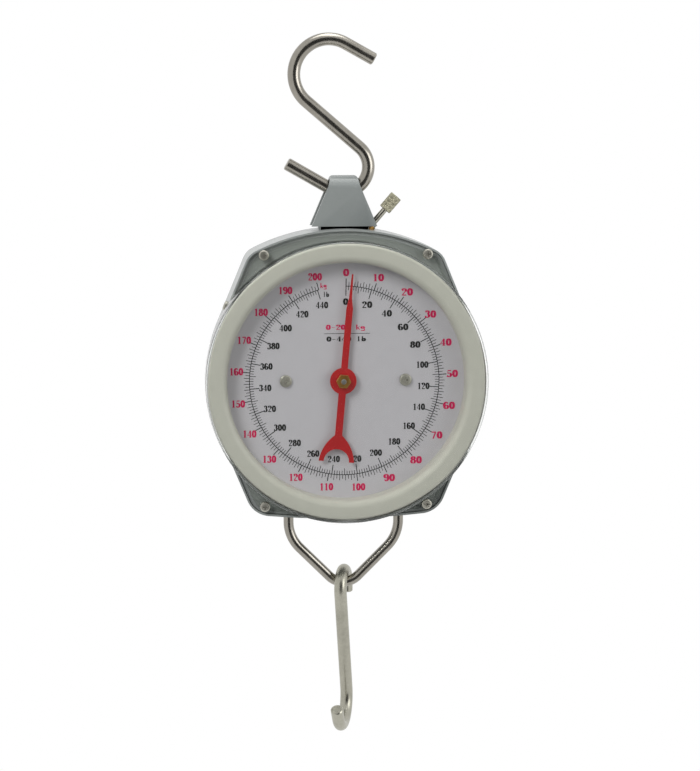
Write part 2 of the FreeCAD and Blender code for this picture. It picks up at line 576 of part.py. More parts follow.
def make_cover():
    """Mould the clear drum cover with its flange and bosses, and put in its screws."""
    cover = Piece("clear_cover")
    rear = "flange_front - flange_sheet"
    drum = Chain(("0", "-drum_front"), [
        ("drum_radius - drum_round", "-drum_front"),
        ("drum_radius", "drum_round - drum_front", "drum_round", 1),
        ("drum_radius", "-rim_clearance"), ("drum_radius - drum_wall", "-rim_clearance"),
        ("drum_radius - drum_wall", "window_wall - drum_front"), ("0", "window_wall - drum_front"),
        ("0", "-drum_front")])
    cover.turn("XY", "V_Axis", drum)
    inside = Circle("0", "0", "drum_radius - drum_wall")
    cover.pad("XZ", rear, "flange_sheet", Outline("flange_inset"))
    lip_height = f"{rear} + chassis_front"
    cover.pad("XZ", "-chassis_front", lip_height, Outline("flange_inset"), Outline("flange_inset + flange_lip"))
    cover.pad("XZ", "-chassis_front", "chassis_front + flange_front",
              *[Circle(x, y, "boss_radius") for x, y in CORNERS])
    cover.cut("XZ", "-chassis_front - 1", "chassis_front + flange_front + 1", inside)
    cover.cut("XZ", "-chassis_front - 1", "chassis_front + flange_front + 2",
              *[Circle(x, y, "screw_shank + slip_gap") for x, y in CORNERS])
    screws = Piece("cover_screws")
    screws.pad("XZ", "flange_front", "head_height", *[Circle(x, y, "screw_head") for x, y in CORNERS])
    screws.fillet("head_height / 2", level("flange_front + head_height"))
    screws.pad("XZ", "flange_front - screw_long", "screw_long",
               *[Circle(x, y, "screw_shank") for x, y in CORNERS])
    cross_recess(screws, CORNERS, "flange_front + head_height")


def make_trim_ring():
    """Mould the trim ring that lines the drum."""
    ring = Piece("trim_ring")
    outer = "(drum_radius - drum_wall - slip_gap)"
    land = f"-(ring_height + {DIAL_FACE})"
    foot = f"-({DIAL_FACE})"
    section = Chain(("ring_inner", foot), [
        ("ring_inner", f"{land} + ring_roll"), ("ring_inner + ring_roll", land, "ring_roll", 1),
        (f"{outer} - ring_sheet", land), (outer, f"{land} + ring_sheet", "ring_sheet", 1),
        (outer, "-rim_clearance"), (f"{outer} - ring_sheet", "-rim_clearance"),
        (f"{outer} - ring_sheet", f"{land} + ring_sheet"),
        ("ring_inner + ring_roll", f"{land} + ring_sheet"),
        ("ring_inner + ring_sheet", f"{land} + ring_roll", "ring_roll - ring_sheet", -1),
        ("ring_inner + ring_sheet", foot), ("ring_inner", foot)])
    ring.turn("XY", "V_Axis", section)


def make_movement():
    """Stand the movement plate on its pillars behind the chassis."""
    rear = "(movement_front - movement_sheet)"
    pillars = [(f"{x} * pillar_right", f"{y} * pillar_up") for x in SIDES for y in SIDES]
    plate = Piece("movement_plate")
    plate.pad("XZ", rear, "movement_sheet",
              rectangle("-movement_half", "-movement_up", "movement_half", "movement_up"),
              Circle("pointer_right", "0", "bearing_radius"),
              *[Circle(x, y, "movement_screw + thread_fit") for x, y in pillars])
    posts = Piece("movement_pillars")
    posts.pad("XZ", "movement_front", f"{CHASSIS_REAR} - movement_front",
              *[Circle(x, y, radius) for x, y in pillars
                for radius in ("pillar_radius", "movement_screw + thread_fit")])
    screws = Piece("movement_screws")
    screws.pad("XZ", f"{rear} - movement_sheet", "movement_sheet",
               *[Circle(x, y, "movement_screw_head") for x, y in pillars])
    screws.pad("XZ", rear, "movement_sheet + pillar_up / 4", *[Circle(x, y, "movement_screw") for x, y in pillars])
    guide = Piece("rack_guide")
    guide.pad("XZ", "movement_front", f"{RACK_REAR} + rack_thick + slip_gap - movement_front",
              rectangle(f"{RACK_LINE} + rack_wide + guide_gap", "-guide_half", "guide_right", "guide_half"))
    make_bearing("front_bush", CHASSIS_REAR, "chassis_sheet", -1)
    make_bearing("rear_bush", rear, "movement_sheet", -1)


def make_bearing(label, start, sheet_thick, way):
    """A stepped bush in a plate, its lip behind the plate."""
    bush = Piece(label, right="pointer_right")
    hole = Circle("0", "0", "shaft_radius + shaft_fit")
    bush.pad("XZ", start, sheet_thick, Circle("0", "0", "bearing_radius"), hole)
    bush.pad("XZ", f"{start} - bush_lip_thick", "bush_lip_thick", Circle("0", "0", "bush_lip"), hole)


def make_carriage():
    """Hang the lower bar from the springs and bush the shackle's legs."""
    depth = "lower_bar_deep / 2"
    bar = Piece("carriage_bar", front=MID)
    legs = [(f"{side} * shackle_right", "0") for side in SIDES]
    bar.pad("XY", CARRIAGE_FLOOR, "lower_bar_high",
            rectangle("-lower_bar_half", f"-({depth})", "lower_bar_half", depth))
    bar.cut("XY", f"{CARRIAGE_FLOOR} - 1", "lower_bar_high + 2",
            *[Circle(x, y, "shackle_rod + thread_fit") for x, y in legs],
            *[Circle(f"{side} * spring_right", "0", "stud_radius + thread_fit") for side in SIDES])
    spots = [(f"{RACK_LINE} + rack_wide / 2", f"lower_bar_up + {side} * rack_screw_gap / 2") for side in SIDES]
    bar.cut("XZ", f"{depth} - rack_screw_gap", "rack_screw_gap + 1",
            *[Circle(x, y, "rack_screw + thread_fit") for x, y in spots])
    nuts = Piece("shackle_nuts", front=MID)
    for start in (CARRIAGE_TOP, f"{CARRIAGE_FLOOR} - shackle_nut_high"):
        nuts.pad("XY", start, "shackle_nut_high",
                 *[shape for x, y in legs for shape in (hexagon(x, y, "shackle_nut_flats"),
                                                        Circle(x, y, "shackle_rod + thread_fit"))])
    bushes = Piece("leg_bushes", front=MID)
    bushes.pad("XY", LEG_SEAT, "bush_flange_thick",
               *[Circle(x, y, radius) for x, y in legs for radius in ("bush_flange", "shackle_rod + bush_fit")])
    bushes.pad("XY", f"{LEG_SEAT} - bush_barrel_long", "bush_barrel_long",
               *[Circle(x, y, radius) for x, y in legs for radius in ("bush_barrel", "shackle_rod + bush_fit")])
    make_rack(spots)


def make_rack(spots):
    """Cut the rack that the carriage draws past the pinion."""
    rack = Piece("rack")
    foot = CARRIAGE_FLOOR
    rack.pad("XZ", RACK_REAR, "rack_thick",
             rectangle(f"{RACK_LINE} - tooth_addendum", foot, f"{RACK_LINE} + rack_wide", "rack_top"))
    rack.cut("XZ", f"{RACK_REAR} - 1", "rack_thick + 2", *[Circle(x, y, "rack_screw + thread_fit") for x, y in spots])
    lean = "tan(pressure_angle)"
    quarter = "(tooth_module * pi / 4 + tooth_play)"
    mouth = f"{RACK_LINE} - tooth_addendum"
    root = f"{RACK_LINE} + tooth_dedendum"
    gap = Chain((mouth, f"{quarter} + tooth_addendum * {lean}"), [
        (f"{mouth} - 1", f"{quarter} + tooth_addendum * {lean}"),
        (f"{mouth} - 1", f"-({quarter} + tooth_addendum * {lean})"),
        (mouth, f"-({quarter} + tooth_addendum * {lean})"),
        (root, f"-({quarter} - tooth_dedendum * {lean})"), (root, f"{quarter} - tooth_dedendum * {lean}"),
        (mouth, f"{quarter} + tooth_addendum * {lean}")])
    pocket_at = "-tooth_module * pi"
    gap = shift(gap, pocket_at)
    rack.cut("XZ", f"{RACK_REAR} - 1", "rack_thick + 2", gap)
    first = rack.body.Tip
    teeth = rack.body.newObject("PartDesign::LinearPattern", "rack_teeth")
    teeth.Originals = [first]
    teeth.Direction = (first.Profile[0], ["V_Axis"])
    teeth.setExpression("Length", link("(rack_teeth - 1) * tooth_module * pi"))
    teeth.setExpression("Occurrences", link("rack_teeth"))
    rack.body.Tip = teeth
    doc.recompute()
    screws = Piece("rack_screws")
    face = f"{RACK_REAR} + rack_thick"
    screws.pad("XZ", face, "rack_screw", *[Circle(x, y, "rack_screw_head") for x, y in spots])
    screws.pad("XZ", f"{RACK_REAR} - rack_screw_gap + 1", f"{face} - ({RACK_REAR} - rack_screw_gap + 1)",
               *[Circle(x, y, "rack_screw") for x, y in spots])


def shift(chain, rise):
    """The same chain, moved up by a formula."""
    def lift(step):
        return (step[0], f"({step[1]}) + {rise}", *step[2:])
    return Chain(lift(chain.start), [lift(step) for step in chain.steps], chain.closed)


def make_shackle():
    """Bend the shackle through both leg bushes."""
    top = f"{CARRIAGE_TOP} + shackle_nut_high + shackle_stub"
    reach = "shackle_bend * tan(shackle_slope / 2)"
    bend = ("shackle_right", f"shackle_shoulder + {reach}")
    after = (f"shackle_right - {reach} * cos(shackle_slope)", f"shackle_shoulder - {reach} * sin(shackle_slope)")
    nose = ("shackle_apex_bend * sin(shackle_slope)",
            f"{APEX_POINT} + shackle_apex_bend * tan(shackle_slope) * sin(shackle_slope)")

    def left(point):
        return (f"-({point[0]})", point[1])

    path = Chain(left(("shackle_right", top)), [
        left(bend), (*left(after), "shackle_bend", 1), left(nose), (*nose, "shackle_apex_bend", 1),
        after, (*bend, "shackle_bend", 1), ("shackle_right", top)], closed=False)
    shackle = Piece("shackle", front=MID).rod("XZ", path, "shackle_rod")
    shackle.chamfer("rod_chamfer", lambda e: any(at_end(f"{side} * shackle_right", top)(e) for side in SIDES))


def make_load_hook():
    """Bend the hook that carries the load."""
    drop = "load_drop"
    pivot = LOAD_PIVOT
    run = f"sqrt(load_lower_right ^ 2 + {drop} ^ 2)"
    head = f"(atan2(-{drop}; load_lower_right) - asin((load_upper_radius + load_lower_radius) / {run}))"
    leave = (f"-load_upper_radius * sin({head})", f"{pivot} + load_upper_radius * cos({head})")
    join = (f"load_lower_right + load_lower_radius * sin({head})",
            f"{pivot} - {drop} - load_lower_radius * cos({head})")
    open_end = ("load_lower_right + load_lower_radius * cos(load_tip_open)",
                f"{pivot} - {drop} - load_lower_radius * sin(load_tip_open)")
    tip = (f"{open_end[0]} + load_tip_long * sin(load_tip_open)",
           f"{open_end[1]} + load_tip_long * cos(load_tip_open)")
    rear = ("-load_upper_radius", f"{pivot} - load_end_long")
    path = Chain(rear, [("-load_upper_radius", pivot), ("0", f"{pivot} + load_upper_radius", "load_upper_radius", -1),
                        (*leave, "load_upper_radius", -1), join, (*open_end, "load_lower_radius", 1), tip],
                 closed=False)
    hook = Piece("load_hook", front=MID, turn=(Vector(0, 0, 1), "-90 - hook_yaw")).rod("XZ", path, "load_rod")
    hook.chamfer("rod_chamfer", lambda e: at_end(*rear)(e) or at_end(*tip)(e))


def make_pointer():
    """Cut the pointer, its shaft, washer and nut."""
    disc = "(pointer_front)"
    pointer = Piece("pointer", right="pointer_right", turn=(Y_AXIS, "pointer_angle"))
    pointer.pad("XZ", disc, "pointer_sheet", Circle("0", "0", "pointer_disc"))
    step = "needle_step - needle_step_long"
    pointer.pad("XZ", disc, "pointer_sheet", Chain(("-needle_wide", "0"), [
        ("needle_wide", "0"), ("needle_wide", step), ("needle_root", "needle_step"), ("needle_tip", "pointer_long"),
        ("-needle_tip", "pointer_long"), ("-needle_root", "needle_step"), ("-needle_wide", step),
        ("-needle_wide", "0")]))
    inner = "(fork_half - fork_tine)"
    pointer.pad("XZ", disc, "pointer_sheet", Chain(("tail_half", "0"), [
        ("-tail_half", "0"), ("-tail_half", "-fork_start"), ("-fork_half", "-fork_reach", "fork_reach / 2", 1),
        (f"-{inner}", "-fork_reach"), ("0", f"-fork_reach + {inner}", inner, -1),
        (inner, "-fork_reach", inner, -1), ("fork_half", "-fork_reach"),
        ("tail_half", "-fork_start", "fork_reach / 2", 1), ("tail_half", "0")]))
    pointer.cut("XZ", f"{disc} - 1", "pointer_sheet + 2", Circle("0", "0", "shaft_radius + thread_fit"))
    hole = Circle("0", "0", "shaft_radius + thread_fit")
    washer = Piece("pointer_washer", right="pointer_right")
    washer.pad("XZ", "pointer_front - washer_thick", "washer_thick", Circle("0", "0", "washer_radius"), hole)
    nut = Piece("hub_nut", right="pointer_right", turn=(Y_AXIS, "pointer_angle"))
    nut.pad("XZ", "pointer_front + pointer_sheet", "hub_nut_high", hexagon("0", "0", "hub_nut_flats"), hole)
    shaft = Piece("pointer_shaft", right="pointer_right", turn=(Y_AXIS, "pointer_angle"))
    rear = "movement_front - movement_sheet - bush_lip_thick - shaft_stub"
    front = "pointer_front + pointer_sheet + hub_nut_high + shaft_stub"
    shaft.pad("XZ", rear, f"{front} - ({rear})", Circle("0", "0", "shaft_radius"))
    shaft.pad("XZ", "-chassis_front + collar_play", "pointer_front - washer_thick + chassis_front - collar_play",
              Circle("0", "0", "shaft_collar"))
    shaft.chamfer("shaft_radius / 4", level(front))
    make_pinion()


def make_pinion():
    """The pinion's involute flanks come from its base circle, so its shape is worked out here."""
    module, teeth, pitch = value("tooth_module"), int(value("pinion_teeth")), value("pinion_pitch")
    pressure = math.radians(value("pressure_angle"))
    base, tip, root = pitch * math.cos(pressure), pitch + value("tooth_addendum"), pitch - value("tooth_dedendum")

    def involute(angle):
        return math.tan(angle) - angle

    half = (module * math.pi / 4 - value("tooth_play")) / pitch + involute(pressure)
    flank = [(root, half)]
    for number in range(6):
        radius = base + (tip - base) * number / 5
        flank.append((radius, half - involute(math.acos(min(1, base / radius)))))
    points = []
    for tooth in range(teeth):
        middle = 2 * math.pi * tooth / teeth
        for radius, spread in flank + [(r, -a) for r, a in reversed(flank)]:
            points.append(Vector(radius * math.cos(middle - spread), 0, radius * math.sin(middle - spread)))
    face = Part.Face(Part.makePolygon(points + points[:1]))
    rear = value(f"{RACK_REAR} - pinion_overhang")
    width = value("rack_thick + 2 * pinion_overhang")
    blank = face.extrude(Vector(0, -width, 0))
    bore_hole = Part.makeCylinder(value("shaft_radius + thread_fit"), width, Vector(0, -width, 0), Y_AXIS)
    pinion = doc.addObject("Part::Feature", "pinion")
    pinion.Label = "pinion"
    pinion.Shape = blank.cut(bore_hole)
    pinion.Placement = Placement(Vector(value("hang_offset + pointer_right"), -value("case_depth") / 2 - rear,
                                        -value("hang_height")), Rotation())
    PIECES.append(pinion)


def make_zero_screw():
    """Turn the zero-adjusting screw, its knob, bush and nut."""
    place = {"right": "zero_right", "front": MID, "up": ZERO_WALL, "turn": (Y_AXIS, "90 - zero_rise")}
    hole = Circle("0", "0", "zero_shank + thread_fit")
    running = Circle("0", "0", "zero_shank + turning_fit")
    screw = Piece("zero_screw", **place)
    screw.pad("XY", "zero_inner", "zero_knob_start + zero_knob_long - zero_inner", Circle("0", "0", "zero_shank"))
    for start in ("zero_bush_half + zero_play", "-zero_bush_half - zero_play - zero_collar_long"):
        screw.pad("XY", start, "zero_collar_long", Circle("0", "0", "zero_collar"))
    knob = Piece("zero_knob", **place)
    knob.pad("XY", "zero_knob_start", "zero_knob_long", Circle("0", "0", "zero_knob"), hole)
    knob.chamfer("rod_chamfer", lambda e: e.BoundBox.XLength > 2 * value("zero_knob") - 0.01)
    bush = Piece("zero_bush", **place)
    bush.pad("XY", "-zero_bush_half", "2 * zero_bush_half", Circle("0", "0", "zero_bush"), running)
    nut = Piece("zero_nut", **place)
    nut.pad("XY", "zero_nut_at - zero_nut_half", "2 * zero_nut_half",
            rectangle("-zero_nut_wide", f"slip_gap - {FOLD_IN}", "zero_nut_wide", f"{FOLD_IN} - slip_gap"), running)


def write_parts():
    """Check every object of the document, then write each sub-part to its own file."""
    doc.recompute()
    failed = [o.Name for o in doc.Objects if "Invalid" in o.State or "Error" in o.State]
    if failed:
        raise RuntimeError("objects that failed: " + ", ".join(failed))
    os.makedirs("parts", exist_ok=True)
    for piece in PIECES:
        item = getattr(piece, "body", piece)
        if item.Shape.isNull() or not item.Shape.isValid():
            raise RuntimeError(f"{item.Label}: shape is null or not valid")
        item.Shape.exportStep(f"parts/{item.Label}.step")
        print(f"{item.Label}: {len(item.Shape.Solids)} solid(s), {item.Shape.Volume:.0f} mm3")


make_top_hook()
make_bracket()
make_upper_bar()
make_plugs("upper_spring_plugs", BAR_FLOOR, -1, "upper_bar_high - 2")
make_plugs("lower_spring_plugs", CARRIAGE_TOP, 1, "lower_bar_high - 2")
make_springs()
make_case()
make_side_pins()
make_plates()
make_cover()
make_trim_ring()
make_movement()
make_carriage()
make_shackle()
make_load_hook()
make_pointer()
make_zero_screw()
write_parts()
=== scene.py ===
"""The looks of a hanging spring scale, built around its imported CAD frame.

Everything is in metres in the frame's own axes: +Z up, the dial faces -Y, +X to the reader's right.
Sizes are written in millimetres about the dial's centre and turned to metres by one function.
"""
from __future__ import annotations

import json
import logging
import math
from dataclasses import dataclass, field
from enum import Enum

import bmesh
import bpy
from mathutils import Matrix, Vector

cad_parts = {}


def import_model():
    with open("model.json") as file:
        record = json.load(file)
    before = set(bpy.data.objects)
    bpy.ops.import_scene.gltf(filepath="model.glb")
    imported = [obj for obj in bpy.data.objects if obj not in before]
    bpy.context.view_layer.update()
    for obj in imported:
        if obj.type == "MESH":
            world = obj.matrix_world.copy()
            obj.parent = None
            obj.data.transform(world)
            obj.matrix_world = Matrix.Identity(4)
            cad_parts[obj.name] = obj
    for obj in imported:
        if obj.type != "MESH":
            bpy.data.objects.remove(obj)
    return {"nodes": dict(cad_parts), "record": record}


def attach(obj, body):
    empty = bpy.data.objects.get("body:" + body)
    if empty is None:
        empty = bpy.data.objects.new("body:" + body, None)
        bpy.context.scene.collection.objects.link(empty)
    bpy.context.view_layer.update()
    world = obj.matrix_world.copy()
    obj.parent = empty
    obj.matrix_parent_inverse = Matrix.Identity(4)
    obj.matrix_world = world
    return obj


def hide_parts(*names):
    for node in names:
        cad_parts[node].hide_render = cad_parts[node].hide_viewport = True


LOG = logging.getLogger("scale")
MM = 0.001


def linear(hex_colour: str) -> tuple[float, float, float, float]:
    """Turn an sRGB hex colour to linear light.

    Args:
        hex_colour: six hex digits, such as "808482".
    Returns:
        Red, green, blue and an alpha of 1.
    """
    parts = [int(hex_colour[i:i + 2], 16) / 255 for i in (0, 2, 4)]
    return (*[c / 12.92 if c <= 0.04045 else ((c + 0.055) / 1.055) ** 2.4 for c in parts], 1.0)


def add_node(tree: bpy.types.NodeTree, kind: str, settings: dict | None = None,
             links: dict | None = None) -> bpy.types.Node:
    """Add one shader node.

    Args:
        tree: the node tree it goes in.
        kind: the node's type name without its ShaderNode start.
        settings: attributes, or input sockets by name or number, and their values.
        links: input sockets by name or number, and the output sockets that feed them.
    Returns:
        The new node.
    """
    node = tree.nodes.new("ShaderNode" + kind)
    for key, value in (settings or {}).items():
        if isinstance(key, str) and hasattr(node, key):
            setattr(node, key, value)
        else:
            node.inputs[key].default_value = value
    for key, source in (links or {}).items():
        tree.links.new(source, node.inputs[key])
    return node


def ramp(tree: bpy.types.NodeTree, source: bpy.types.NodeSocket,
         stops: list[tuple[float, tuple[float, float, float, float]]]) -> bpy.types.NodeSocket:
    """Feed a value through a colour ramp.

    Args:
        tree: the node tree.
        source: the value's socket.
        stops: places from 0 to 1 and their linear colours, at least two.
    Returns:
        The ramp's colour socket.
    """
    node = add_node(tree, "ValToRGB", links={0: source})
    elements = node.color_ramp.elements
    while len(elements) < len(stops):
        elements.new(0.5)
    for element, (place, colour) in zip(elements, stops):
        element.position = place
        element.color = colour
    return node.outputs[0]


class Grain(Enum):
    """How a finish varies over its surface."""

    SPRAYED = "orange peel of sprayed paint"
    DRAWN = "streaks of drawn rod"
    PLATED = "soft blotches of plating"
    MOULDED = "fine texture of moulded plastic"


@dataclass(frozen=True)
class Finish:
    """One opaque finish: what it is made of and how its surface was made."""

    name: str
    light: str
    dark: str
    grain: Grain
    scale_mm: float
    metallic: float = 0.0
    rough: tuple[float, float] = (0.3, 0.4)
    bump_mm: float = 0.01
    coat: float = 0.0
    coat_rough: float = 0.1
    ior: float = 1.5
    # colour of a painted highlight mixed onto sharp convex edges; empty for none
    wear: str = ""

    def build(self) -> bpy.types.Material:
        """Make the material.

        Returns:
            The material, or the one that this finish made before.
        """
        made = bpy.data.materials.get(self.name)
        if made:
            return made
        material = bpy.data.materials.new(self.name)
        material.use_nodes = True
        tree = material.node_tree
        tree.nodes.clear()
        place = add_node(tree, "TexCoord").outputs["Object"]
        stretch = {Grain.DRAWN: (1.0, 1.0, 0.12)}.get(self.grain, (1.0, 1.0, 1.0))
        place = add_node(tree, "Mapping", {"Scale": stretch}, {"Vector": place}).outputs[0]
        frequency = 1 / (self.scale_mm * MM)
        fine = add_node(tree, "TexNoise", {"Scale": frequency, "Detail": 6.0, "Roughness": 0.6},
                        {"Vector": place}).outputs[0]
        broad = add_node(tree, "TexNoise", {"Scale": frequency / 9, "Detail": 3.0, "Roughness": 0.5},
                         {"Vector": place}).outputs[0]
        blend = add_node(tree, "Mix", {"data_type": "FLOAT", "Factor": 0.55}, {2: fine, 3: broad}).outputs[0]
        colour = ramp(tree, blend, [(0.32, linear(self.dark)), (0.68, linear(self.light))])
        rough = add_node(tree, "MapRange", {"From Min": 0.3, "From Max": 0.7, "To Min": self.rough[0],
                                            "To Max": self.rough[1]}, {"Value": blend}).outputs[0]
        # Painted highlight: sharp convex edges, found by pointiness, are mixed toward a paler grey.
        if self.wear:
            edge = add_node(tree, "NewGeometry").outputs["Pointiness"]
            shine = ramp(tree, edge, [(0.505, (0, 0, 0, 1)), (0.56, (1, 1, 1, 1))])
            colour = add_node(tree, "Mix", {"data_type": "RGBA", 7: linear(self.wear)},
                              {"Factor": shine, 6: colour}).outputs[2]
        bump = add_node(tree, "Bump", {"Strength": 0.5, "Distance": self.bump_mm * MM},
                        {"Height": fine}).outputs[0]
        shader = add_node(tree, "BsdfPrincipled", {
            "Metallic": self.metallic, "IOR": self.ior, "Coat Weight": self.coat,
            "Coat Roughness": self.coat_rough},
            {"Base Color": colour, "Roughness": rough, "Normal": bump}).outputs[0]
        add_node(tree, "OutputMaterial", links={"Surface": shader})
        return material


@dataclass(frozen=True)
class ClearFinish:
    """Clear moulded polycarbonate: gloss outside, a faint haze, light passes to what lies behind."""

    name: str = "clear_moulded_polycarbonate"
    tint: str = "fbfcfa"
    shade: str = "f2f3f1"
    rough: float = 0.03
    ior: float = 1.49
    wave_mm: float = 14.0
    wave_deep_mm: float = 0.05

    def build(self) -> bpy.types.Material:
        """Make the material.

        Returns:
            The material, or the one that this finish made before.
        """
        made = bpy.data.materials.get(self.name)
        if made:
            return made
        material = bpy.data.materials.new(self.name)
        material.use_nodes = True
        tree = material.node_tree
        tree.nodes.clear()
        place = add_node(tree, "TexCoord").outputs["Object"]
        waves = add_node(tree, "TexNoise", {"Scale": 1 / (self.wave_mm * MM), "Detail": 2.0},
                         {"Vector": place}).outputs[0]
        bump = add_node(tree, "Bump", {"Strength": 0.15, "Distance": self.wave_deep_mm * MM},
                        {"Height": waves}).outputs[0]
        glass = add_node(tree, "BsdfPrincipled", {
            "Base Color": linear(self.tint), "Roughness": self.rough, "IOR": self.ior,
            "Transmission Weight": 1.0}, {"Normal": bump}).outputs[0]
        open_way = add_node(tree, "BsdfTransparent", {"Color": linear(self.shade)}).outputs[0]
        path = add_node(tree, "LightPath")
        shade = add_node(tree, "Math", {"operation": "MAXIMUM"},
                         {0: path.outputs["Is Shadow Ray"], 1: path.outputs["Is Diffuse Ray"]}).outputs[0]
        mixed = add_node(tree, "MixShader", links={0: shade, 1: glass, 2: open_way}).outputs[0]
        add_node(tree, "OutputMaterial", links={"Surface": mixed})
        return material


# Stoved enamel sprayed on pressed steel: an even grey with a soft sheen and slight orange peel, and a painted
# highlight of paler grey on its sharp edges.
GREY_ENAMEL = Finish("grey_stoved_enamel", "787b7a", "707372", Grain.SPRAYED, 1.6, rough=(0.32, 0.42),
                     bump_mm=0.02, coat=0.35, coat_rough=0.18, wear="8b8f8d")
# The same enamel as the case on the folded strap, a little duller, its grey painted darker to stand in for
# shade, with the same painted highlight on its edges.
SHADED_STRAP_ENAMEL = Finish("grey_enamel_on_strap_painted_darker_for_shade", "6d7271", "646968", Grain.SPRAYED, 1.4,
                      rough=(0.36, 0.46), bump_mm=0.02, coat=0.25, coat_rough=0.2, wear="8a8e8c")
# Bright drawn steel rod: a hard sheen that streaks along the drawing.
BRIGHT_ROD = Finish("bright_drawn_steel_rod", "a39f96", "8c8880", Grain.DRAWN, 1.1, metallic=1.0,
                    rough=(0.18, 0.27), bump_mm=0.004)
# Zinc plate on rod: dull, pale and softly blotched.
ZINC_ROD = Finish("dull_zinc_plated_rod", "b3b1a4", "98968a", Grain.PLATED, 2.2, metallic=1.0,
                  rough=(0.26, 0.42), bump_mm=0.02)
# Bright nickel plate on the zero screw: close to a mirror, a little warm.
NICKEL = Finish("bright_nickel_plate", "cfccc0", "b0ac9e", Grain.PLATED, 1.2, metallic=1.0,
                rough=(0.18, 0.3), bump_mm=0.008)
# Nickel plate tumbled on screws: bright but blurred.
SCREW_PLATE = Finish("tumbled_nickel_screw_plate", "b9b7ad", "a3a197", Grain.PLATED, 0.9, metallic=1.0,
                     rough=(0.42, 0.52), bump_mm=0.006)
# Nickel plate over knurling, where dirt warms it.
KNURL_PLATE = Finish("nickel_on_knurling", "b9b6a0", "97947f", Grain.PLATED, 0.9, metallic=1.0,
                     rough=(0.36, 0.46), bump_mm=0.006)
# Machined brass: yellow metal with a satin cut.
BRASS = Finish("machined_brass", "c99f5c", "a5793a", Grain.PLATED, 0.9, metallic=1.0,
               rough=(0.34, 0.44), bump_mm=0.008)
# Machined mild steel, unplated and satin.
MACHINE_STEEL = Finish("machined_mild_steel", "a3a3a1", "868684", Grain.DRAWN, 0.9, metallic=1.0,
                       rough=(0.26, 0.4), bump_mm=0.01)
# Oil tempered spring wire: dark with a dull glint.
SPRING_WIRE = Finish("oil_tempered_spring_wire", "5d5a56", "3b3936", Grain.DRAWN, 0.8, metallic=1.0,
                     rough=(0.3, 0.45), bump_mm=0.01)
# Satin moulded plastic of the trim ring, a warm off-white.
CREAM_PLASTIC = Finish("cream_moulded_plastic", "c6c4bb", "bfbdb4", Grain.MOULDED, 0.8,
                       rough=(0.4, 0.48), bump_mm=0.01, ior=1.49)
# Pale enamel of the dial plate, nearly matt.
DIAL_ENAMEL = Finish("pale_dial_enamel", "c6c2c9", "c0bcc3", Grain.MOULDED, 1.0, rough=(0.42, 0.5),
                     bump_mm=0.006)
# Red lacquer on thin sheet, with a weak gloss.
RED_LACQUER = Finish("red_lacquer_on_sheet", "b5161b", "aa1217", Grain.SPRAYED, 1.2,
                     rough=(0.4, 0.48), bump_mm=0.012, coat=0.1, coat_rough=0.15)
# Screen ink of the kilogram figures: matt and strong.
CRIMSON_INK = Finish("crimson_screen_ink", "d0185a", "c4124f", Grain.MOULDED, 0.5, rough=(0.5, 0.6),
                     bump_mm=0.004)
# Screen ink of the pound figures and the graduations: matt and near black.
BLACK_INK = Finish("black_screen_ink", "121112", "0b0a0b", Grain.MOULDED, 0.5, rough=(0.5, 0.6),
                   bump_mm=0.004)
# Moulded nylon of the bushes: matt black.
BLACK_NYLON = Finish("black_nylon", "1d1d1d", "151515", Grain.MOULDED, 0.7, rough=(0.45, 0.55),
                     bump_mm=0.01)
# Clear moulded polycarbonate of the drum.
CLEAR = ClearFinish()


@dataclass(frozen=True)
class Layout:
    """Where the dial stands in the frame and how its scale is drawn, in millimetres and degrees."""

    centre_right: float = 11.3
    centre_up: float = -260.0
    rim_front: float = 21.0
    scale_right: float = -0.9
    scale_up: float = -0.5
    face_front: float = -2.0
    zero_angle: float = 0.9
    degrees_per_kg: float = 1.717
    kg_full: int = 200
    lb_full: int = 440
    kg_per_lb: float = 0.45359
    arc_radius: float = 74.4
    line_lift: float = 0.028
    tick_lift: float = 0.035

    def spot(self, right: float, up: float, front: float) -> Vector:
        """Turn a place about the dial to the frame's own axes.

        Args:
            right: millimetres to the right of the dial's centre.
            up: millimetres above it.
            front: millimetres in front of the rim's plane.
        Returns:
            The place in metres.
        """
        return Vector((right + self.centre_right, -self.rim_front - front, up + self.centre_up)) * MM

    def printed(self, right: float, up: float, turn: float = 0.0, lift: float = 0.04) -> Matrix:
        """Make the matrix that lays flat millimetre artwork on the dial.

        Args:
            right: millimetres right of the scale's centre.
            up: millimetres above it.
            turn: clockwise turn of the artwork, in degrees.
            lift: how far the ink stands in front of the dial's face.
        Returns:
            The matrix, from artwork x right and y up to the frame.
        """
        place = self.spot(right + self.scale_right, up + self.scale_up, self.face_front + lift)
        upright = Matrix(((1, 0, 0, 0), (0, 0, -1, 0), (0, 1, 0, 0), (0, 0, 0, 1)))
        return (Matrix.Translation(place) @ upright @ Matrix.Rotation(-math.radians(turn), 4, "Z")
                @ Matrix.Scale(MM, 4))

    def kg_angle(self, kg: float) -> float:
        """Give where a load is marked.

        Args:
            kg: the load in kilograms.
        Returns:
            The clockwise angle from the top, in degrees.
        """
        return self.zero_angle + self.degrees_per_kg * kg


LAYOUT = Layout()


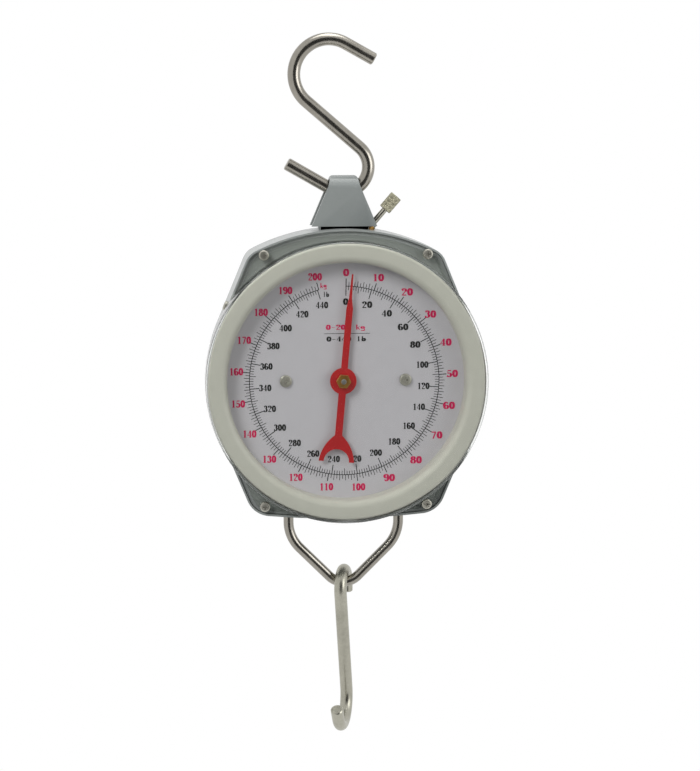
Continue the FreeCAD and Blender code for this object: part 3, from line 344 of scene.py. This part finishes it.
class Frame:
    """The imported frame, and the ways a piece joins it."""

    def __init__(self) -> None:
        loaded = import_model()
        self.nodes: dict[str, bpy.types.Object] = loaded["nodes"]
        self.bodies: dict[str, str] = {
            node: body for body, nodes in loaded["record"]["behaviour"]["bodies"].items() for node in nodes}

    def finish_node(self, node: str, finish: Finish | ClearFinish) -> None:
        """Give a node that is shown as it was packed its material.

        Args:
            node: the CAD node.
            finish: what it is made of.
        """
        data = self.nodes[node].data
        material = finish.build()
        for index in range(len(data.materials)):
            data.materials[index] = material
        if not data.materials:
            data.materials.append(material)

    def piece(self, name: str, mesh: bmesh.types.BMesh, finish: Finish | ClearFinish, body: str,
              slot: str, replaces: tuple[str, ...] = (), sharp: float = 32.0) -> bpy.types.Object:
        """Turn a finished bmesh into one piece of the object.

        Args:
            name: the piece's name in plain words.
            mesh: its shape in the frame, which is freed.
            finish: what it is made of.
            body: the CAD body it rides on.
            slot: the record's material slot; not used.
            replaces: the CAD nodes it stands for.
            sharp: the angle in degrees above which an edge stays hard.
        Returns:
            The new object.
        """
        for face in mesh.faces:
            face.smooth = True
        for edge in mesh.edges:
            edge.smooth = len(edge.link_faces) == 2 and edge.calc_face_angle(0.0) < math.radians(sharp)
        data = bpy.data.meshes.new(name)
        mesh.to_mesh(data)
        mesh.free()
        data.materials.append(finish.build())
        item = bpy.data.objects.new(name, data)
        bpy.context.scene.collection.objects.link(item)
        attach(item, body)
        if replaces:
            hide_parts(*replaces)
        LOG.info("%s: %d faces on %s", name, len(data.polygons), body)
        return item

    def refined(self, node: str, name: str, finish: Finish | ClearFinish, slot: str,
                bevel: float = 0.0) -> bpy.types.Object:
        """Rebuild a node as a merged copy with soft edges.

        Args:
            node: the CAD node.
            name: the new piece's name.
            finish: what it is made of.
            slot: the record's material slot.
            bevel: how far its hard edges are rounded, in millimetres.
        Returns:
            The new object.
        """
        mesh = bmesh.new()
        mesh.from_mesh(self.nodes[node].data)
        bmesh.ops.remove_doubles(mesh, verts=mesh.verts, dist=1e-6)
        if bevel:
            bmesh.ops.dissolve_limit(mesh, angle_limit=math.radians(0.4), verts=mesh.verts,
                                     edges=mesh.edges)
        bmesh.ops.recalc_face_normals(mesh, faces=mesh.faces)
        item = self.piece(name, mesh, finish, self.bodies[node], slot, (node,))
        if bevel:
            round_off = item.modifiers.new("soft edges", "BEVEL")
            round_off.width = bevel * MM
            round_off.segments = 2
            round_off.limit_method = "ANGLE"
            round_off.angle_limit = math.radians(50)
            round_off.use_clamp_overlap = True
            round_off.miter_outer = "MITER_ARC"
            item.modifiers.new("even shading", "WEIGHTED_NORMAL").keep_sharp = True
        return item


def bowl(right: float, up: float, wide: float, high: float, start: float, end: float,
         steps: int = 18) -> tuple[tuple[float, float], ...]:
    """Give the points of part of an ellipse.

    Args:
        right: centre across.
        up: centre up.
        wide: half its width.
        high: half its height.
        start: first angle in degrees, anticlockwise from the right.
        end: last angle.
        steps: how many lines it has.
    Returns:
        The points in turn.
    """
    angles = [math.radians(start + (end - start) * i / steps) for i in range(steps + 1)]
    return tuple((right + wide * math.cos(a), up + high * math.sin(a)) for a in angles)


@dataclass(frozen=True)
class Stroke:
    """One pen stroke in a box one high; a width of 0 lets the pen swell with its direction."""

    points: tuple[tuple[float, float], ...]
    width: float = 0.0


@dataclass(frozen=True)
class Glyph:
    """One character as strokes, and balls given as across, up and radius."""

    strokes: tuple[Stroke, ...] = ()
    balls: tuple[tuple[float, float, float], ...] = ()


SIX = Glyph((Stroke(bowl(0.31, 0.5, 0.21, 0.45, 62, 235)), Stroke(bowl(0.31, 0.29, 0.18, 0.25, 0, 360))),
            ((0.43, 0.82, 0.09),))
GLYPHS: dict[str, Glyph] = {
    "0": Glyph((Stroke(bowl(0.3, 0.5, 0.18, 0.45, 0, 360, 28)),)),
    "1": Glyph((Stroke(((0.32, 0.0), (0.32, 1.0)), 0.22), Stroke(((0.14, 0.03), (0.5, 0.03)), 0.07),
                Stroke(((0.13, 0.84), (0.3, 0.95)), 0.08))),
    "2": Glyph((Stroke(bowl(0.29, 0.72, 0.18, 0.23, 165, -40)), Stroke(((0.42, 0.6), (0.1, 0.08)), 0.11),
                Stroke(((0.07, 0.07), (0.53, 0.07)), 0.14)), ((0.15, 0.72, 0.09),)),
    "3": Glyph((Stroke(bowl(0.28, 0.75, 0.16, 0.2, 150, -90)), Stroke(bowl(0.27, 0.29, 0.2, 0.25, 90, -150))),
               ((0.15, 0.8, 0.08), (0.12, 0.2, 0.09))),
    "4": Glyph((Stroke(((0.4, 0.96), (0.05, 0.3)), 0.07), Stroke(((0.04, 0.28), (0.57, 0.28)), 0.08),
                Stroke(((0.4, 0.0), (0.4, 0.98)), 0.2), Stroke(((0.25, 0.03), (0.55, 0.03)), 0.06))),
    "5": Glyph((Stroke(((0.14, 0.91), (0.5, 0.91)), 0.15), Stroke(((0.15, 0.94), (0.13, 0.5)), 0.06),
                Stroke(bowl(0.28, 0.31, 0.2, 0.27, 135, -150))), ((0.12, 0.17, 0.09),)),
    "6": SIX,
    "7": Glyph((Stroke(((0.08, 0.91), (0.53, 0.91)), 0.16), Stroke(((0.5, 0.9), (0.24, 0.0)), 0.15))),
    "8": Glyph((Stroke(bowl(0.3, 0.74, 0.15, 0.21, 0, 360)), Stroke(bowl(0.3, 0.28, 0.19, 0.24, 0, 360)))),
    "9": Glyph(tuple(Stroke(tuple((0.6 - x, 1 - y) for x, y in s.points), s.width) for s in SIX.strokes),
               tuple((0.6 - x, 1 - y, r) for x, y, r in SIX.balls)),
    "-": Glyph((Stroke(((0.1, 0.42), (0.5, 0.42)), 0.1),)),
    "k": Glyph((Stroke(((0.15, 0.0), (0.15, 1.0)), 0.17), Stroke(((0.5, 0.62), (0.2, 0.32)), 0.07),
                Stroke(((0.27, 0.4), (0.5, 0.0)), 0.15))),
    "g": Glyph((Stroke(bowl(0.27, 0.4, 0.16, 0.2, 0, 360)), Stroke(((0.46, 0.62), (0.46, -0.05)), 0.1),
                Stroke(bowl(0.27, -0.04, 0.19, 0.18, 0, -150)))),
    "l": Glyph((Stroke(((0.3, 0.0), (0.3, 1.0)), 0.17), Stroke(((0.14, 0.03), (0.46, 0.03)), 0.06))),
    "b": Glyph((Stroke(((0.15, 0.0), (0.15, 1.0)), 0.17), Stroke(bowl(0.32, 0.32, 0.16, 0.28, 0, 360)))),
    " ": Glyph(),
}


class Printer:
    """Draws flat ink with a broad pen: thin across, thick down."""

    thin: float = 0.1
    thick: float = 0.27
    stack: float = 0.006

    def __init__(self) -> None:
        self.type: dict[str, bpy.types.Mesh] = {}

    def line(self, mesh: bmesh.types.BMesh, points: tuple[tuple[float, float], ...], width: float,
             lift: float = 0.0) -> None:
        """Extrude an edge along a line.

        Args:
            mesh: where it goes, in flat artwork units.
            points: the centre line.
            width: its width, or 0 for the pen's own.
            lift: its height above the artwork.
        """
        closed = math.dist(points[0], points[-1]) < 1e-6
        edge = None
        for i, (x, y) in enumerate(points):
            before = points[i - 1] if i else (points[-2] if closed else points[0])
            after = points[i + 1] if i + 1 < len(points) else (points[1] if closed else points[-1])
            way = Vector((after[0] - before[0], after[1] - before[1])).normalized()
            half = (width or self.thin + (self.thick - self.thin) * abs(way.y) ** 1.4) / 2
            ends = [Vector((x - s * way.y * half, y + s * way.x * half, lift)) for s in (1, -1)]
            if edge is None:
                edge = mesh.edges.new([mesh.verts.new(end) for end in ends])
                continue
            made = bmesh.ops.extrude_edge_only(mesh, edges=[edge])["geom"]
            edge = next(item for item in made if isinstance(item, bmesh.types.BMEdge)
                        and all(v in made for v in item.verts))
            for vert, end in zip(edge.verts, ends):
                vert.co = end

    def cut(self, letter: str) -> bpy.types.Mesh:
        """Cut one letter's type, once.

        Args:
            letter: the character.
        Returns:
            Its mesh, one unit high.
        """
        if letter not in self.type:
            whole = bmesh.new()
            glyph = GLYPHS[letter]
            for level, stroke in enumerate(glyph.strokes):
                self.line(whole, stroke.points, stroke.width, level * self.stack / 5)
            for level, (x, y, radius) in enumerate(glyph.balls, start=len(glyph.strokes)):
                bmesh.ops.create_circle(whole, cap_ends=True, segments=18, radius=radius,
                                        matrix=Matrix.Translation((x, y, level * self.stack / 5)))
            for face in whole.faces:
                if face.normal.z < 0:
                    face.normal_flip()
            self.type[letter] = bpy.data.meshes.new("type_" + letter)
            whole.to_mesh(self.type[letter])
            whole.free()
        return self.type[letter]

    def words(self, mesh: bmesh.types.BMesh, text: str, place: Matrix, high: float, wide: float) -> None:
        """Set a line of type, centred.

        Args:
            mesh: where it goes, in the frame.
            text: the characters.
            place: the artwork's matrix at the line's centre.
            high: the height of the type in millimetres.
            wide: the whole line's width.
        """
        step = wide / len(text)
        for i, letter in enumerate(text):
            first = len(mesh.verts)
            mesh.from_mesh(self.cut(letter))
            mesh.verts.ensure_lookup_table()
            local = (Matrix.Translation(((i - len(text) / 2) * step, -high / 2, 0))
                     @ Matrix.Diagonal((step / 0.62, high, high, 1)))
            bmesh.ops.transform(mesh, matrix=place @ local, verts=mesh.verts[first:])

    def bar(self, mesh: bmesh.types.BMesh, place: Matrix, wide: float, low: float, high: float) -> None:
        """Print an upright bar.

        Args:
            mesh: where it goes, in the frame.
            place: the artwork's matrix at the bar's foot line.
            wide: its width in millimetres.
            low: its lower end above the foot line.
            high: its upper end.
        """
        local = Matrix.Translation((0, (low + high) / 2, 0)) @ Matrix.Diagonal((wide, high - low, 1, 1))
        bmesh.ops.create_grid(mesh, x_segments=1, y_segments=1, size=0.5, matrix=place @ local)


@dataclass
class Dial:
    """The dial plate's printed scales: kilograms outside the line, pounds inside it."""

    frame: Frame
    printer: Printer = field(default_factory=Printer)
    kg_figures_at: float = 85.0
    lb_figures_at: float = 62.3
    kg_high: float = 5.7
    lb_high: float = 5.1
    kg_tick_ends: tuple[float, float, float] = (80.3, 78.8, 77.6)
    lb_tick_ends: tuple[float, float, float] = (66.9, 69.4, 71.3)
    tick_widths: tuple[float, float] = (0.7, 0.5)
    line_width: float = 0.6

    def build(self) -> None:
        """Print every mark and figure."""
        self.frame.refined("dial_plate", "enamelled_dial_plate", DIAL_ENAMEL, "dial_enamel")
        self.marks()
        self.figures("kilogram_figures", CRIMSON_INK, LAYOUT.kg_full, 10, 1.0, self.kg_figures_at,
                     self.kg_high)
        self.figures("pound_figures", BLACK_INK, LAYOUT.lb_full, 20, LAYOUT.kg_per_lb, self.lb_figures_at,
                     self.lb_high)
        self.caption()

    def tick(self, mesh: bmesh.types.BMesh, kg: float, wide: float, low: float, high: float) -> None:
        """Print one graduation at a load's angle.

        Args:
            mesh: where it goes, in the frame.
            kg: the load it marks.
            wide: its width in millimetres.
            low: its inner end from the scale's centre.
            high: its outer end.
        """
        place = LAYOUT.printed(0, 0, LAYOUT.kg_angle(kg), LAYOUT.tick_lift)
        self.printer.bar(mesh, place, wide, low, high)

    def marks(self) -> None:
        """Print the scale's line and its graduations."""
        ring = bmesh.new()
        last = LAYOUT.kg_angle(LAYOUT.kg_full)
        turns = [math.radians(90 - (LAYOUT.zero_angle + (last - LAYOUT.zero_angle) * i / 360))
                 for i in range(361)]
        line = tuple((LAYOUT.arc_radius * math.cos(a), LAYOUT.arc_radius * math.sin(a)) for a in turns)
        self.printer.line(ring, line, self.line_width)
        bmesh.ops.transform(ring, matrix=LAYOUT.printed(0, 0, 0, LAYOUT.line_lift), verts=ring.verts)
        for kg in range(LAYOUT.kg_full + 1):
            high = self.kg_tick_ends[0 if kg % 10 == 0 else 1 if kg % 2 == 0 else 2]
            self.tick(ring, kg, self.tick_widths[kg % 10 != 0], LAYOUT.arc_radius, high)
        for lb in range(0, LAYOUT.lb_full + 1, 2):
            low = self.lb_tick_ends[0 if lb % 20 == 0 else 1 if lb % 10 == 0 else 2]
            self.tick(ring, lb * LAYOUT.kg_per_lb, self.tick_widths[lb % 20 != 0], low, LAYOUT.arc_radius)
        self.frame.piece("scale_line_and_graduations", ring, BLACK_INK, "case", "dial_enamel")

    def figures(self, name: str, ink: Finish, full: int, step: int, kg_each: float, radius: float,
                high: float) -> None:
        """Print one scale's upright figures.

        Args:
            name: the piece's name.
            ink: its finish.
            full: the last figure.
            step: the count between figures.
            kg_each: kilograms in one of its units.
            radius: where the figures stand.
            high: their height.
        """
        mesh = bmesh.new()
        for number in range(0, full + 1, step):
            turn = math.radians(LAYOUT.kg_angle(number * kg_each))
            text = str(number)
            wide = {1: 0.85, 2: 1.62, 3: 1.92}[len(text)] * high
            place = LAYOUT.printed(radius * math.sin(turn), radius * math.cos(turn))
            self.printer.words(mesh, text, place, high, wide)
        self.frame.piece(name, mesh, ink, "case", "dial_enamel")

    def caption(self) -> None:
        """Print the range above the hub and the unit marks at the scale's end."""
        red, black = bmesh.new(), bmesh.new()
        self.printer.words(red, "0-200 kg", LAYOUT.printed(0.9, 42.3), 4.0, 31.0)
        self.printer.bar(black, LAYOUT.printed(1.9, 37.3), 35.7, -0.2, 0.2)
        self.printer.words(black, "0-440 lb", LAYOUT.printed(1.4, 33.1), 4.0, 31.0)
        self.printer.words(red, "kg", LAYOUT.printed(-16.4, 75.0), 4.0, 5.4)
        self.printer.words(black, "lb", LAYOUT.printed(-14.5, 68.1), 4.0, 5.0)
        self.frame.piece("caption_in_crimson", red, CRIMSON_INK, "case", "dial_enamel")
        self.frame.piece("caption_in_black", black, BLACK_INK, "case", "dial_enamel")


@dataclass
class Housing:
    """The pressed case, its hanger strap and the screws in it."""

    frame: Frame
    edge: float = 0.25

    def build(self) -> None:
        """Build the outside pieces and finish the inside ones."""
        # The strap's enamel is the case's grey painted darker to stand in for shade.
        self.frame.refined("hanger_bracket", "folded_hanger_strap", SHADED_STRAP_ENAMEL, "grey_enamel", self.edge)
        self.frame.refined("case_shell", "pressed_case", GREY_ENAMEL, "grey_enamel")
        self.frame.refined("chassis_plate", "chassis_plate_enamelled", GREY_ENAMEL, "grey_enamel")
        for node, name in (("cover_screws", "cover_screws_plated"), ("side_screw_left", "left_flank_screw"),
                           ("side_screw_right", "right_flank_screw")):
            self.frame.refined(node, name, SCREW_PLATE, "screw_nickel", 0.1)
        self.frame.refined("dial_screws", "dial_screws_plated", SCREW_PLATE, "screw_nickel", 0.12)


@dataclass
class Drum:
    """The clear drum cover and the trim ring moulded to fit in it."""

    frame: Frame

    def build(self) -> None:
        """Build both mouldings."""
        self.frame.refined("clear_cover", "clear_drum_cover", CLEAR, "clear_plastic")
        self.frame.refined("trim_ring", "cream_trim_ring", CREAM_PLASTIC, "cream_plastic")


@dataclass
class Ironwork:
    """The rods a load hangs from, top to bottom."""

    frame: Frame

    def build(self) -> None:
        """Build the three rods."""
        self.frame.refined("top_hook", "bright_top_hook", BRIGHT_ROD, "hook_steel")
        self.frame.refined("shackle", "bright_shackle", BRIGHT_ROD, "shackle_steel")
        self.frame.refined("load_hook", "zinc_load_hook", ZINC_ROD, "galvanised_steel")


@dataclass
class Hands:
    """The pointer, its nut and what shows of its shaft."""

    frame: Frame

    def build(self) -> None:
        """Build the pieces at the dial's centre."""
        self.frame.refined("pointer", "red_pointer", RED_LACQUER, "pointer_red", 0.12)
        self.frame.refined("hub_nut", "brass_hub_nut", BRASS, "brass", 0.2)
        self.frame.refined("pointer_shaft", "pointer_shaft_turned", MACHINE_STEEL, "machine_steel")


@dataclass
class ZeroAdjuster:
    """The zero screw and its diamond-knurled knob."""

    frame: Frame
    wall_right: float = 19.5
    wall_up: float = 117.292
    way: tuple[float, float] = (0.656, 0.755)
    start: float = 20.0
    end: float = 34.0
    radius: float = 5.0
    depth: float = 0.4
    teeth: int = 22

    def build(self) -> None:
        """Build the screw and knurl the knob."""
        self.frame.refined("zero_screw", "zero_screw_plated", NICKEL, "screw_nickel")
        mesh = bmesh.new()
        length = self.end - self.start
        rise = [0.0, 0.5] + [0.5 + (length - 1.0) * i / 40 for i in range(1, 40)] + [length - 0.5, length]
        out = [self.radius - 0.5] + [self.radius] * (len(rise) - 2) + [self.radius - 0.5]
        line = [(0.0, 0.0)] + list(zip(out, rise)) + [(0.0, length)]
        edges = []
        verts = [mesh.verts.new((r, 0, z)) for r, z in line]
        for a, b in zip(verts, verts[1:]):
            edges.append(mesh.edges.new((a, b)))
        bmesh.ops.spin(mesh, geom=verts + edges, cent=(0, 0, 0), axis=(0, 0, 1), angle=math.tau,
                       steps=self.teeth * 8, use_merge=True)
        bmesh.ops.remove_doubles(mesh, verts=mesh.verts, dist=1e-4)
        pitch = math.tau * self.radius / self.teeth
        for vert in mesh.verts:
            if 0.6 < vert.co.z < length - 0.6 and vert.co.xy.length > self.radius - 0.1:
                turn = math.atan2(vert.co.y, vert.co.x) * self.teeth / math.tau
                waves = [abs(((turn + s * vert.co.z / pitch) % 1.0) - 0.5) * 2 for s in (1, -1)]
                shrink = 1 - self.depth * max(waves) ** 1.5 / self.radius
                vert.co.x *= shrink
                vert.co.y *= shrink
        bmesh.ops.recalc_face_normals(mesh, faces=mesh.faces)
        foot = LAYOUT.spot(self.wall_right + self.way[0] * self.start,
                           self.wall_up + self.way[1] * self.start, -LAYOUT.rim_front)
        axis = Vector((self.way[0], 0, self.way[1])).to_track_quat("Z", "Y").to_matrix().to_4x4()
        place = Matrix.Translation(foot) @ axis @ Matrix.Scale(MM, 4)
        bmesh.ops.transform(mesh, matrix=place, verts=mesh.verts)
        self.frame.piece("knurled_zero_knob", mesh, KNURL_PLATE, "zero_screw", "screw_nickel", ("zero_knob",))


@dataclass
class Inside:
    """What is behind the dial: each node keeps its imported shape."""

    frame: Frame
    by_finish: tuple[tuple[Finish, tuple[str, ...]], ...] = (
        (BRASS, ("front_bush", "rear_bush", "zero_bush", "pointer_washer", "pinion", "zero_nut")),
        (SPRING_WIRE, ("main_spring_left", "main_spring_right")),
        (BLACK_NYLON, ("leg_bushes", "rack_guide")),
        (MACHINE_STEEL, ("upper_bar", "hanger_studs", "hanger_spacers", "hanger_nuts",
                         "upper_spring_plugs", "case_posts", "movement_plate", "movement_pillars",
                         "movement_screws", "carriage_bar", "lower_spring_plugs", "shackle_nuts", "rack",
                         "rack_screws")),
    )

    def build(self) -> None:
        """Give each inner node its finish."""
        for finish, nodes in self.by_finish:
            for node in nodes:
                self.frame.finish_node(node, finish)


@dataclass
class Studio:
    """A pale floor, soft lights and the camera."""

    target: tuple[float, float, float] = (0.0136, -0.031, -0.2626)
    distance: float = 1.8
    azimuth: float = 5.5
    elevation: float = 8.0
    lens: float = 118.7

    def build(self) -> None:
        """Set the whole stage."""
        self.world()
        self.floor()
        self.card("dark card in front", (0.25, -2.6, -0.1), (2.6, 3.2), 0.06)
        self.light("key", (-1.0, -1.2, 0.75), 0.7, 22.0)
        self.light("fill", (1.5, -1.1, 0.1), 1.0, 9.0)
        self.light("top", (0.1, -0.1, 1.3), 1.0, 10.0)
        self.camera()
        bpy.context.scene.view_settings.view_transform = "Standard"

    def world(self) -> None:
        """Make a white surround that lights the object softly."""
        world = bpy.data.worlds.new("white_surround")
        bpy.context.scene.world = world
        world.use_nodes = True
        tree = world.node_tree
        tree.nodes.clear()
        path = add_node(tree, "LightPath")
        seen = add_node(tree, "Math", {"operation": "MAXIMUM"}, {
            0: path.outputs["Is Camera Ray"], 1: path.outputs["Is Glossy Ray"]}).outputs[0]
        seen = add_node(tree, "Math", {"operation": "MAXIMUM"}, {
            0: seen, 1: path.outputs["Is Transmission Ray"]}).outputs[0]
        soft = add_node(tree, "Background", {"Color": linear("f4f6f8"), "Strength": 0.5}).outputs[0]
        white = add_node(tree, "Background", {"Color": (1, 1, 1, 1), "Strength": 1.0}).outputs[0]
        mixed = add_node(tree, "MixShader", links={0: seen, 1: soft, 2: white}).outputs[0]
        add_node(tree, "OutputWorld", links={"Surface": mixed})

    def floor(self) -> None:
        """Lay a pale floor that keeps the shadow and fades to the surround."""
        mesh = bmesh.new()
        bmesh.ops.create_circle(mesh, cap_ends=True, segments=64, radius=1.2,
                                matrix=Matrix.Translation((0, 0, -0.6)))
        data = bpy.data.meshes.new("floor")
        mesh.to_mesh(data)
        mesh.free()
        material = bpy.data.materials.new("pale_floor")
        material.use_nodes = True
        tree = material.node_tree
        tree.nodes.clear()
        place = add_node(tree, "TexCoord").outputs["Object"]
        far = add_node(tree, "VectorMath", {"operation": "LENGTH"}, {0: place}).outputs["Value"]
        fade = add_node(tree, "MapRange", {"From Min": 0.25, "From Max": 0.6}, {"Value": far}).outputs[0]
        pale = add_node(tree, "BsdfDiffuse", {"Color": linear("f8f8f8")}).outputs[0]
        clear = add_node(tree, "BsdfTransparent").outputs[0]
        mixed = add_node(tree, "MixShader", links={0: fade, 1: pale, 2: clear}).outputs[0]
        add_node(tree, "OutputMaterial", links={"Surface": mixed})
        data.materials.append(material)
        floor = bpy.data.objects.new("floor", data)
        bpy.context.scene.collection.objects.link(floor)

    def card(self, name: str, place: tuple[float, float, float], size: tuple[float, float],
             strength: float) -> None:
        """Hang a dark card that only bright metal sees.

        Args:
            name: its name.
            place: its centre.
            size: its width and height.
            strength: how bright it is, 1 being white.
        """
        mesh = bmesh.new()
        matrix = (Matrix.Translation(place) @ Matrix.Rotation(math.radians(90), 4, "X")
                  @ Matrix.Diagonal((size[0], size[1], 1, 1)))
        bmesh.ops.create_grid(mesh, x_segments=1, y_segments=1, size=0.5, matrix=matrix)
        data = bpy.data.meshes.new(name)
        mesh.to_mesh(data)
        mesh.free()
        material = bpy.data.materials.new(name)
        material.use_nodes = True
        tree = material.node_tree
        tree.nodes.clear()
        glow = add_node(tree, "Emission", {"Strength": strength}).outputs[0]
        add_node(tree, "OutputMaterial", links={"Surface": glow})
        data.materials.append(material)
        card = bpy.data.objects.new(name, data)
        bpy.context.scene.collection.objects.link(card)
        card.visible_camera = False
        card.visible_diffuse = False
        card.visible_shadow = False

    def light(self, name: str, place: tuple[float, float, float], size: float, power: float) -> None:
        """Hang one soft light facing the object; the key is kept out of the cover's reflection.

        Args:
            name: its name.
            place: where it hangs.
            size: the side of its square.
            power: its power in watts.
        """
        data = bpy.data.lights.new(name, "AREA")
        data.energy = power
        data.size = size
        lamp = bpy.data.objects.new(name, data)
        bpy.context.scene.collection.objects.link(lamp)
        lamp.location = place
        lamp.rotation_mode = "QUATERNION"
        lamp.rotation_quaternion = (Vector(self.target) - Vector(place)).to_track_quat("-Z", "Y")
        lamp.visible_glossy = name != "key"

    def camera(self) -> None:
        """Stand the camera where the dial is seen a little from the left and above."""
        data = bpy.data.cameras.new("camera")
        data.sensor_fit = "HORIZONTAL"
        data.sensor_width = 36.0
        data.lens = self.lens
        data.clip_start, data.clip_end = 0.05, 50.0
        camera = bpy.data.objects.new("camera", data)
        bpy.context.scene.collection.objects.link(camera)
        bpy.context.scene.camera = camera
        side, rise = math.radians(self.azimuth), math.radians(self.elevation)
        back = Vector((-math.sin(side) * math.cos(rise), -math.cos(side) * math.cos(rise), math.sin(rise)))
        camera.location = Vector(self.target) + back * self.distance
        camera.rotation_mode = "QUATERNION"
        camera.rotation_quaternion = (-back).to_track_quat("-Z", "Y")


def main() -> None:
    """Build the looks."""
    logging.basicConfig(level=logging.INFO, format="%(name)s: %(message)s")
    frame = Frame()
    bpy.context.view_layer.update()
    for part in (Ironwork(frame), Housing(frame), Drum(frame), Dial(frame), Hands(frame),
                 ZeroAdjuster(frame), Inside(frame)):
        part.build()
    Studio().build()


if __name__ == "__main__":
    main()
